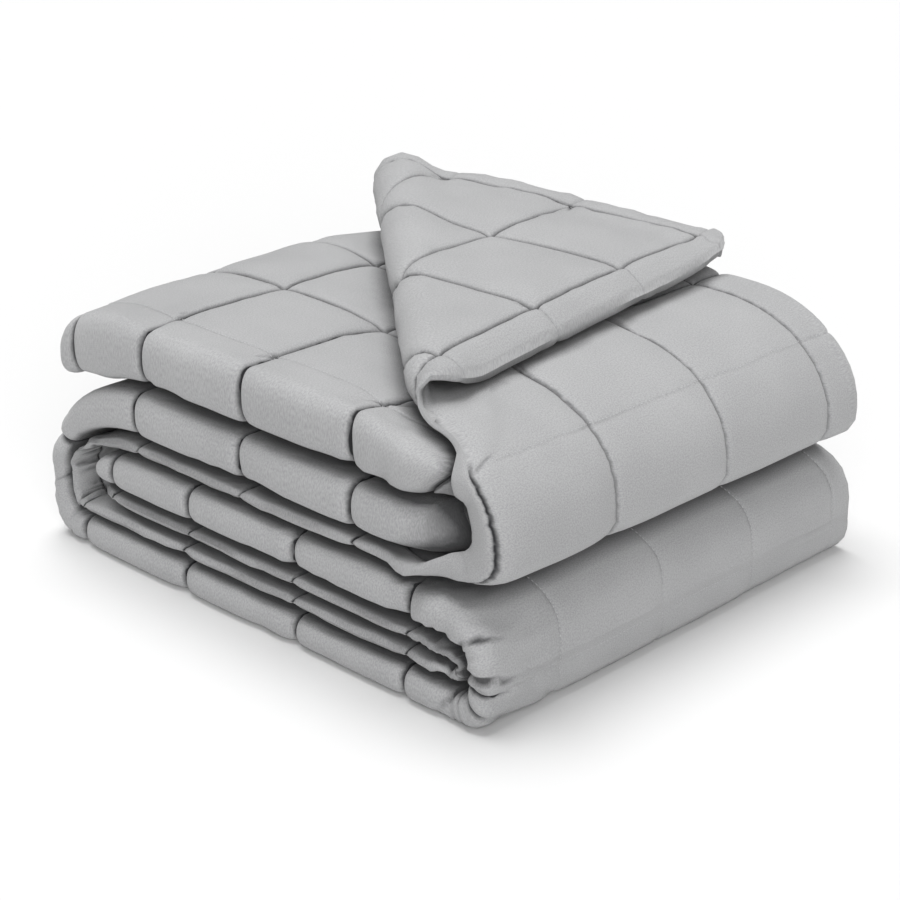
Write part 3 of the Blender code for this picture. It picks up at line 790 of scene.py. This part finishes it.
def sewBlanket():
    sheet = flatSheet()
    bmesh.ops.solidify(sheet, geom=sheet.faces[:], thickness=1.0)
    flat = np.array([vert.co[:] for vert in sheet.verts])
    side = np.sign(flat[:, 2] - flat[:, 2].mean())
    uvLayer = sheet.loops.layers.uv.new("cloth")
    for face in sheet.faces:
        for loop in face.loops:
            loop[uvLayer].uv = (loop.vert.co.x * square, loop.vert.co.y * square)
    paintedShadeDepths = np.column_stack(seamDepths(flat[:, 0], flat[:, 1], side))
    # painted seam shade: deeper on the lobes of the left bend, and none along the hem where it bunches
    paintedShadeDepths[:, 1] = np.where(onLobes(flat[:, 0], side), tightLeft["darker"] * paintedShadeDepths[:, 1], paintedShadeDepths[:, 1])
    bunched = (side > 0.0) & (np.abs(flat[:, 0]) < halfSquare)
    paintedShadeDepths[:, 0] = paintedShadeDepths[:, 0] * (1.0 - bunched * within(flat[:, 1], hemTuck["bunchedV"]))
    folded = foldBlanket(flat[:, 0], flat[:, 1], side)
    shift = wayToBlock(folded)
    for vert, point in zip(sheet.verts, folded + shift):
        vert.co = (point[0], point[1], max(point[2], undersidePress) - undersidePress)
    bmesh.ops.recalc_face_normals(sheet, faces=sheet.faces[:])
    # painted shade where folds close the cloth in, in the hollow and along the single creases
    foldShadeAmount = paintedShadeOfFolds(sheet) + paintedFoldShade["hollow"] * hollowDip(flat[:, 0], flat[:, 1]) * (side < 0.0)
    foldShadeAmount = foldShadeAmount + paintedFoldShade["crease"] * creased(flat[:, 0], flat[:, 1], side)
    mesh = bpy.data.meshes.new("blanket")
    sheet.to_mesh(mesh)
    sheet.free()
    # how deep the seams sink the cloth here and how far folds close it in, for the painted shade of
    # both
    depths = mesh.attributes.new("paintedShadeDepths", "FLOAT_VECTOR", "POINT")
    depths.data.foreach_set("vector", np.column_stack((paintedShadeDepths, foldShadeAmount)).ravel())
    mesh.shade_smooth()
    return mesh, shift


def wayToBlock(folded):
    # what carries the folded sheet to the middle of the solids' box and down to the floor
    middle = 0.5 * (cadLow + cadHigh)
    return np.array((middle.x - blockMiddle[0], middle.y - blockMiddle[1], -folded[:, 2].min()))


print("folding the blanket")
blanketMesh, shift = sewBlanket()
blanketPiece = bpy.data.objects.new("quilt", blanketMesh)
bpy.context.scene.collection.objects.link(blanketPiece)
print("triangles", sum(len(face.vertices) - 2 for face in blanketMesh.polygons), "shift", shift)


stitching = {
    "pitch": 0.0034,
    "length": 0.0022,
    "width": 0.00065,
    "height": 0.00040,
    "around": 5,               # faces around and along a stitch
    "along": 3,
}
# Rows of stitches on the seams that lie open: from and to as u and v, and the side.
stitchRows = rows(
    "uFrom vFrom uTo vTo side",
    (0.10, 14.0, 3.43, 14.0, 1),  # across the high front bend
    (0.10, 13.0, 3.43, 13.0, 1),
    (7.6, 4.0, 11.2, 4.0, -1),    # across the low front bend
    (7.8, 3.0, 11.2, 3.0, -1),
    (8.0, 2.8, 8.0, 5.0, -1),
    (9.0, 2.8, 9.0, 5.0, -1),
    (10.0, 2.8, 10.0, 5.0, -1),
    (11.0, 2.8, 11.0, 5.0, -1),
    (7.3, 8.0, 11.2, 8.0, -1),    # across the back bend
    (7.3, 9.0, 11.2, 9.0, -1),
    (8.0, 7.6, 8.0, 9.9, -1),
    (9.0, 7.6, 9.0, 9.9, -1),
    (10.0, 7.6, 10.0, 9.9, -1),
    (11.0, 7.6, 11.0, 9.9, -1),
    (7.0, 14.9, 7.0, 18.0, -1),   # along the left of the top run
    (0.0, 14.8, 0.0, 18.0, -1),   # the hem of the turned corner
    (0.0, 18.0, 3.1, 18.0, -1),
)


def sewStitches(shift):
    ends = []
    for row in stitchRows:
        start = np.array((row["uFrom"], row["vFrom"]))
        span = np.array((row["uTo"], row["vTo"])) - start
        rowLength = np.hypot(*span) * square
        for step in np.arange(0.5 * stitching["pitch"], rowLength, stitching["pitch"]):
            middle = start + span * step / rowLength
            reach = 0.5 * span / rowLength * stitching["length"]
            ends.append((*(middle - reach), *(middle + reach), row["side"]))
    ends = np.array(ends, dtype=float)
    first = foldBlanket(ends[:, 0], ends[:, 1], ends[:, 4]) + shift
    last = foldBlanket(ends[:, 2], ends[:, 3], ends[:, 4]) + shift
    middle = 0.5 * (ends[:, 0] + ends[:, 2]), 0.5 * (ends[:, 1] + ends[:, 3])
    top = foldBlanket(*middle, ends[:, 4]) + shift
    under = foldBlanket(*middle, -ends[:, 4]) + shift
    sewn = bmesh.new()
    one = bmesh.new()
    bmesh.ops.create_uvsphere(one, u_segments=stitching["around"], v_segments=stitching["along"],
                              radius=1.0)
    stitch = bpy.data.meshes.new("one stitch")
    one.to_mesh(stitch)
    one.free()
    size = Matrix.Diagonal((*(0.5 * stitching[way] for way in ("length", "width", "height")), 1.0))
    for a, b, point, other in zip(first, last, top, under):
        along = Vector(b - a)
        out = Vector(point - other).normalized()
        aside = out.cross(along).normalized()
        out = along.cross(aside).normalized()
        turned = Matrix((along.normalized(), aside, out)).transposed().to_4x4()
        placed = stitch.copy()
        placed.transform(Matrix.Translation(Vector(0.5 * (a + b))) @ turned @ size)
        sewn.from_mesh(placed)
        bpy.data.meshes.remove(placed)
    bpy.data.meshes.remove(stitch)
    mesh = bpy.data.meshes.new("stitching")
    sewn.to_mesh(mesh)
    sewn.free()
    mesh.shade_smooth()
    return mesh


print("sewing the seams")
stitchMesh = sewStitches(shift)
stitchPiece = bpy.data.objects.new("stitching", stitchMesh)
bpy.context.scene.collection.objects.link(stitchPiece)
print("stitch triangles", sum(len(face.vertices) - 2 for face in stitchMesh.polygons))


class Wire:
    # one output of a node; an expression on wires adds its Math nodes
    def __init__(self, kit, socket):
        self.kit = kit
        self.socket = socket

    def __add__(self, other):
        return self.kit.maths("ADD", self, other)

    def __sub__(self, other):
        return self.kit.maths("SUBTRACT", self, other)

    def __rsub__(self, other):
        return self.kit.maths("SUBTRACT", other, self)

    def __mul__(self, other):
        return self.kit.maths("MULTIPLY", self, other)

    def __truediv__(self, other):
        return self.kit.maths("DIVIDE", self, other)

    __radd__ = __add__
    __rmul__ = __mul__


class Finish:
    # a material and the nodes that are added to it
    def __init__(self, name):
        self.material = bpy.data.materials.new(name)
        self.material.use_nodes = True
        self.tree = self.material.node_tree
        self.shader = self.tree.nodes["Principled BSDF"]

    def node(self, kind, settings=None, sockets=None, output=0):
        made = self.tree.nodes.new(kind)
        for name, value in (settings or {}).items():
            setattr(made, name, value)
        for name, value in (sockets or {}).items():
            self.feed(made.inputs[name], value)
        return Wire(self, made.outputs[output])

    def feed(self, socket, value):
        if isinstance(value, Wire):
            self.tree.links.new(value.socket, socket)
        else:
            socket.default_value = value

    def maths(self, operation, *values):
        return self.node("ShaderNodeMath", {"operation": operation}, dict(enumerate(values)))

    def clamped(self, value):
        return self.node("ShaderNodeClamp", {}, {"Value": value})

    def split(self, value):
        parts = self.node("ShaderNodeSeparateXYZ", {}, {0: value}).socket.node
        return [Wire(self, output) for output in parts.outputs]

    def cloudy(self, place, scale, detail, roughness):
        return self.node("ShaderNodeTexNoise", {"noise_dimensions": "2D"},
                         {"Vector": place, "Scale": scale, "Detail": detail, "Roughness": roughness})

    def mix(self, factor, low, high):
        # sockets 6 and 7 and output 2 are the node's colours
        return self.node("ShaderNodeMix", {"data_type": "RGBA"}, {0: factor, 6: low, 7: high}, 2)

    def set(self, **values):
        for name, value in values.items():
            self.feed(self.shader.inputs[name.replace("_", " ")], value)


fabric = {
    "colour": (0.405, 0.406, 0.410, 1.0),
    "shade": (0.305, 0.306, 0.311, 1.0),
    "paintedShadeColour": (0.022, 0.022, 0.024, 1.0),
    "roughness": 0.82,
    "sheen": 0.2,
    "sheenRoughness": 0.45,
    "shine": 0.25,
    "threadPitch": 0.0007,
    "weaveHeight": 0.00006,
    "grainSize": 0.0011,
    "grainNoise": (2.0, 0.6),  # detail and roughness
    "grainTone": 2.6,          # how strongly the grain and the patches change the tone
    "patchesPerMetre": 14.0,
    "patchNoise": (3.0, 0.55),
    "patchTone": 0.7,
    "puckerHeight": 0.0007,
    "puckerReach": 0.0065,
    "puckerPitch": 0.0065,
    "puckersPerMetre": 35.0,   # across a seam, where they are drawn out
    "puckerNoise": (1.5, 0.5),
    "paintedSeamShadeReach": 0.0012,     # how far the painted shade of a deep seam reaches
    "creaseJag": 0.0019,       # and how far it strays as the cloth puckers
    "paintedSeamShadeLeast": 0.65,       # the least of that painted shade
    "paintedSeamShadeMore": 0.6,         # and what the puckers add
    "paintedFoldShadeFrom": 0.10,        # how far folds close in where their painted shade starts
    "paintedFoldShadeTo": 0.54,
    "paintedFoldShadeMost": 0.85,
    "paintedSeamShadeDepths": (0.25, 0.80),  # the depths between which a seam's painted shade line turns dark
}


def greyFabric():
    finish = Finish("grey fabric")
    uv = finish.node("ShaderNodeUVMap", {"uv_map": "cloth"})
    across, along = finish.split(uv)[:2]
    paintedShadeDepths = finish.split(finish.node("ShaderNodeAttribute", {"attribute_name": "paintedShadeDepths"}, {}, "Vector"))
    # the weave: threads over and under each other
    turnsPerMetre = 2.0 * pi / fabric["threadPitch"]
    weave = finish.maths("SINE", across * turnsPerMetre) * finish.maths("SINE", along * turnsPerMetre)
    grain = finish.cloudy(uv, 1.0 / fabric["grainSize"], *fabric["grainNoise"])
    patches = finish.cloudy(uv, fabric["patchesPerMetre"], *fabric["patchNoise"])
    # puckers: short ridges that cross a seam and fade beside it
    relief = weave * fabric["weaveHeight"]
    paintedShade = 0.0
    shallow, deep = fabric["paintedSeamShadeDepths"]
    for own, other, sink in ((across, along, paintedShadeDepths[0]), (along, across, paintedShadeDepths[1])):
        drawnOut = {"X": own * fabric["puckersPerMetre"], "Y": other * (1.0 / fabric["puckerPitch"])}
        place = finish.node("ShaderNodeCombineXYZ", {}, drawnOut)
        ridges = finish.cloudy(place, 1.0, *fabric["puckerNoise"])
        jagged = own + (ridges - 0.5) * fabric["creaseJag"]
        toSeam = finish.maths("PINGPONG", jagged / square, 0.5) * square
        fade = finish.maths("EXPONENT", toSeam * (-1.0 / fabric["puckerReach"]))
        relief = relief + (ridges - 0.5) * fade * fabric["puckerHeight"]
        # painted shade: a dark line along each deep seam, jagged where the cloth puckers
        depth = finish.maths("MAXIMUM", (sink - shallow) / (deep - shallow), 0.0)
        reach = toSeam / fabric["paintedSeamShadeReach"]
        tone = fabric["paintedSeamShadeLeast"] + fabric["paintedSeamShadeMore"] * ridges
        line = finish.maths("EXPONENT", reach * reach * -1.0) * depth * tone
        paintedShade = finish.maths("MAXIMUM", paintedShade, line)
    # painted shade where folds close the cloth in
    span = fabric["paintedFoldShadeTo"] - fabric["paintedFoldShadeFrom"]
    paintedFoldDark = finish.clamped((paintedShadeDepths[2] - fabric["paintedFoldShadeFrom"]) / span) * fabric["paintedFoldShadeMost"]
    paintedShade = finish.maths("MAXIMUM", paintedShade, paintedFoldDark)
    bump = finish.node("ShaderNodeBump", {}, {"Strength": 1.0, "Distance": 1.0, "Height": relief})
    tone = (grain - 0.5) * fabric["grainTone"] + (patches - 0.5) * fabric["patchTone"]
    tone = finish.clamped(tone + 0.5)
    cloth = finish.mix(tone, fabric["colour"], fabric["shade"])
    # the painted shade of the seams and folds darkens the cloth's colour
    finish.set(Base_Color=finish.mix(finish.clamped(paintedShade), cloth, fabric["paintedShadeColour"]),
               Roughness=fabric["roughness"], Normal=bump, Metallic=0.0,
               Sheen_Weight=fabric["sheen"], Sheen_Roughness=fabric["sheenRoughness"],
               Specular_IOR_Level=fabric["shine"])
    return finish.material


thread = {
    "colour": (0.56, 0.56, 0.57, 1.0),
    "shade": (0.36, 0.36, 0.37, 1.0),
    "patchesPerMetre": 260.0,
    "roughness": 0.6,
}


def greyThread():
    finish = Finish("grey thread")
    place = finish.node("ShaderNodeTexCoord", {}, {}, "Object")
    uneven = finish.node("ShaderNodeTexNoise", {},
                         {"Vector": place, "Scale": thread["patchesPerMetre"], "Detail": 1.0})
    finish.set(Base_Color=finish.mix(uneven, thread["colour"], thread["shade"]),
               Roughness=thread["roughness"], Metallic=0.0)
    return finish.material


print("dyeing the cloth")
blanketMesh.materials.append(greyFabric())
stitchMesh.materials.append(greyThread())
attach(blanketPiece, "root")
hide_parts("blanket")
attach(stitchPiece, "root")

room = {
    "floorColour": (0.69, 0.69, 0.69, 1.0),
    "floorSize": 8.0,
    "floorRoughness": 0.9,
    "worldColour": (1.0, 1.0, 1.0, 1.0),
    "worldStrength": 0.22,
    # soft lamps, as the direction they stand in, their strength and the angle they fill in degrees
    "lamps": (
        ("overhead", (0.05, 0.20, 1.00), 3.05, 42.0),
        ("left", (-0.58, -0.66, 0.42), 2.15, 45.0),
    ),
}


def layFloor():
    floor = bmesh.new()
    bmesh.ops.create_grid(floor, x_segments=1, y_segments=1, size=room["floorSize"])
    mesh = bpy.data.meshes.new("floor")
    floor.to_mesh(mesh)
    floor.free()
    finish = Finish("pale floor")
    finish.set(Base_Color=room["floorColour"], Roughness=room["floorRoughness"])
    mesh.materials.append(finish.material)
    made = bpy.data.objects.new("floor", mesh)
    bpy.context.scene.collection.objects.link(made)


def lightRoom():
    world = bpy.data.worlds.new("room")
    world.use_nodes = True
    back = world.node_tree.nodes["Background"]
    back.inputs["Color"].default_value = room["worldColour"]
    back.inputs["Strength"].default_value = room["worldStrength"]
    bpy.context.scene.world = world
    for name, direction, strength, angle in room["lamps"]:
        data = bpy.data.lights.new(name, "SUN")
        data.energy = strength
        data.angle = np.radians(angle)
        lamp = bpy.data.objects.new(name, data)
        lamp.rotation_euler = Vector(direction).to_track_quat("Z", "Y").to_euler()
        bpy.context.scene.collection.objects.link(lamp)


camera = {
    "place": (-1.0445, -1.0248, 0.6931),
    "heading": 45.75,          # degrees from +Y towards +X
    "pitch": 22.99,            # degrees down
    "focalPixels": 2248.0,
    "imagePixels": 900.0,
    "sensor": 36.0,
}


def setCamera():
    data = bpy.data.cameras.new("camera")
    data.sensor_width = camera["sensor"]
    data.lens = camera["sensor"] * camera["focalPixels"] / camera["imagePixels"]
    heading = np.radians(camera["heading"])
    pitch = np.radians(camera["pitch"])
    forward = Vector((np.sin(heading) * np.cos(pitch), np.cos(heading) * np.cos(pitch), -np.sin(pitch)))
    thing = bpy.data.objects.new("camera", data)
    thing.location = camera["place"]
    thing.rotation_euler = forward.to_track_quat("-Z", "Y").to_euler()
    bpy.context.scene.collection.objects.link(thing)
    bpy.context.scene.camera = thing


print("setting up the room")
layFloor()
lightRoom()
setCamera()
bpy.context.scene.view_settings.view_transform = "Standard"
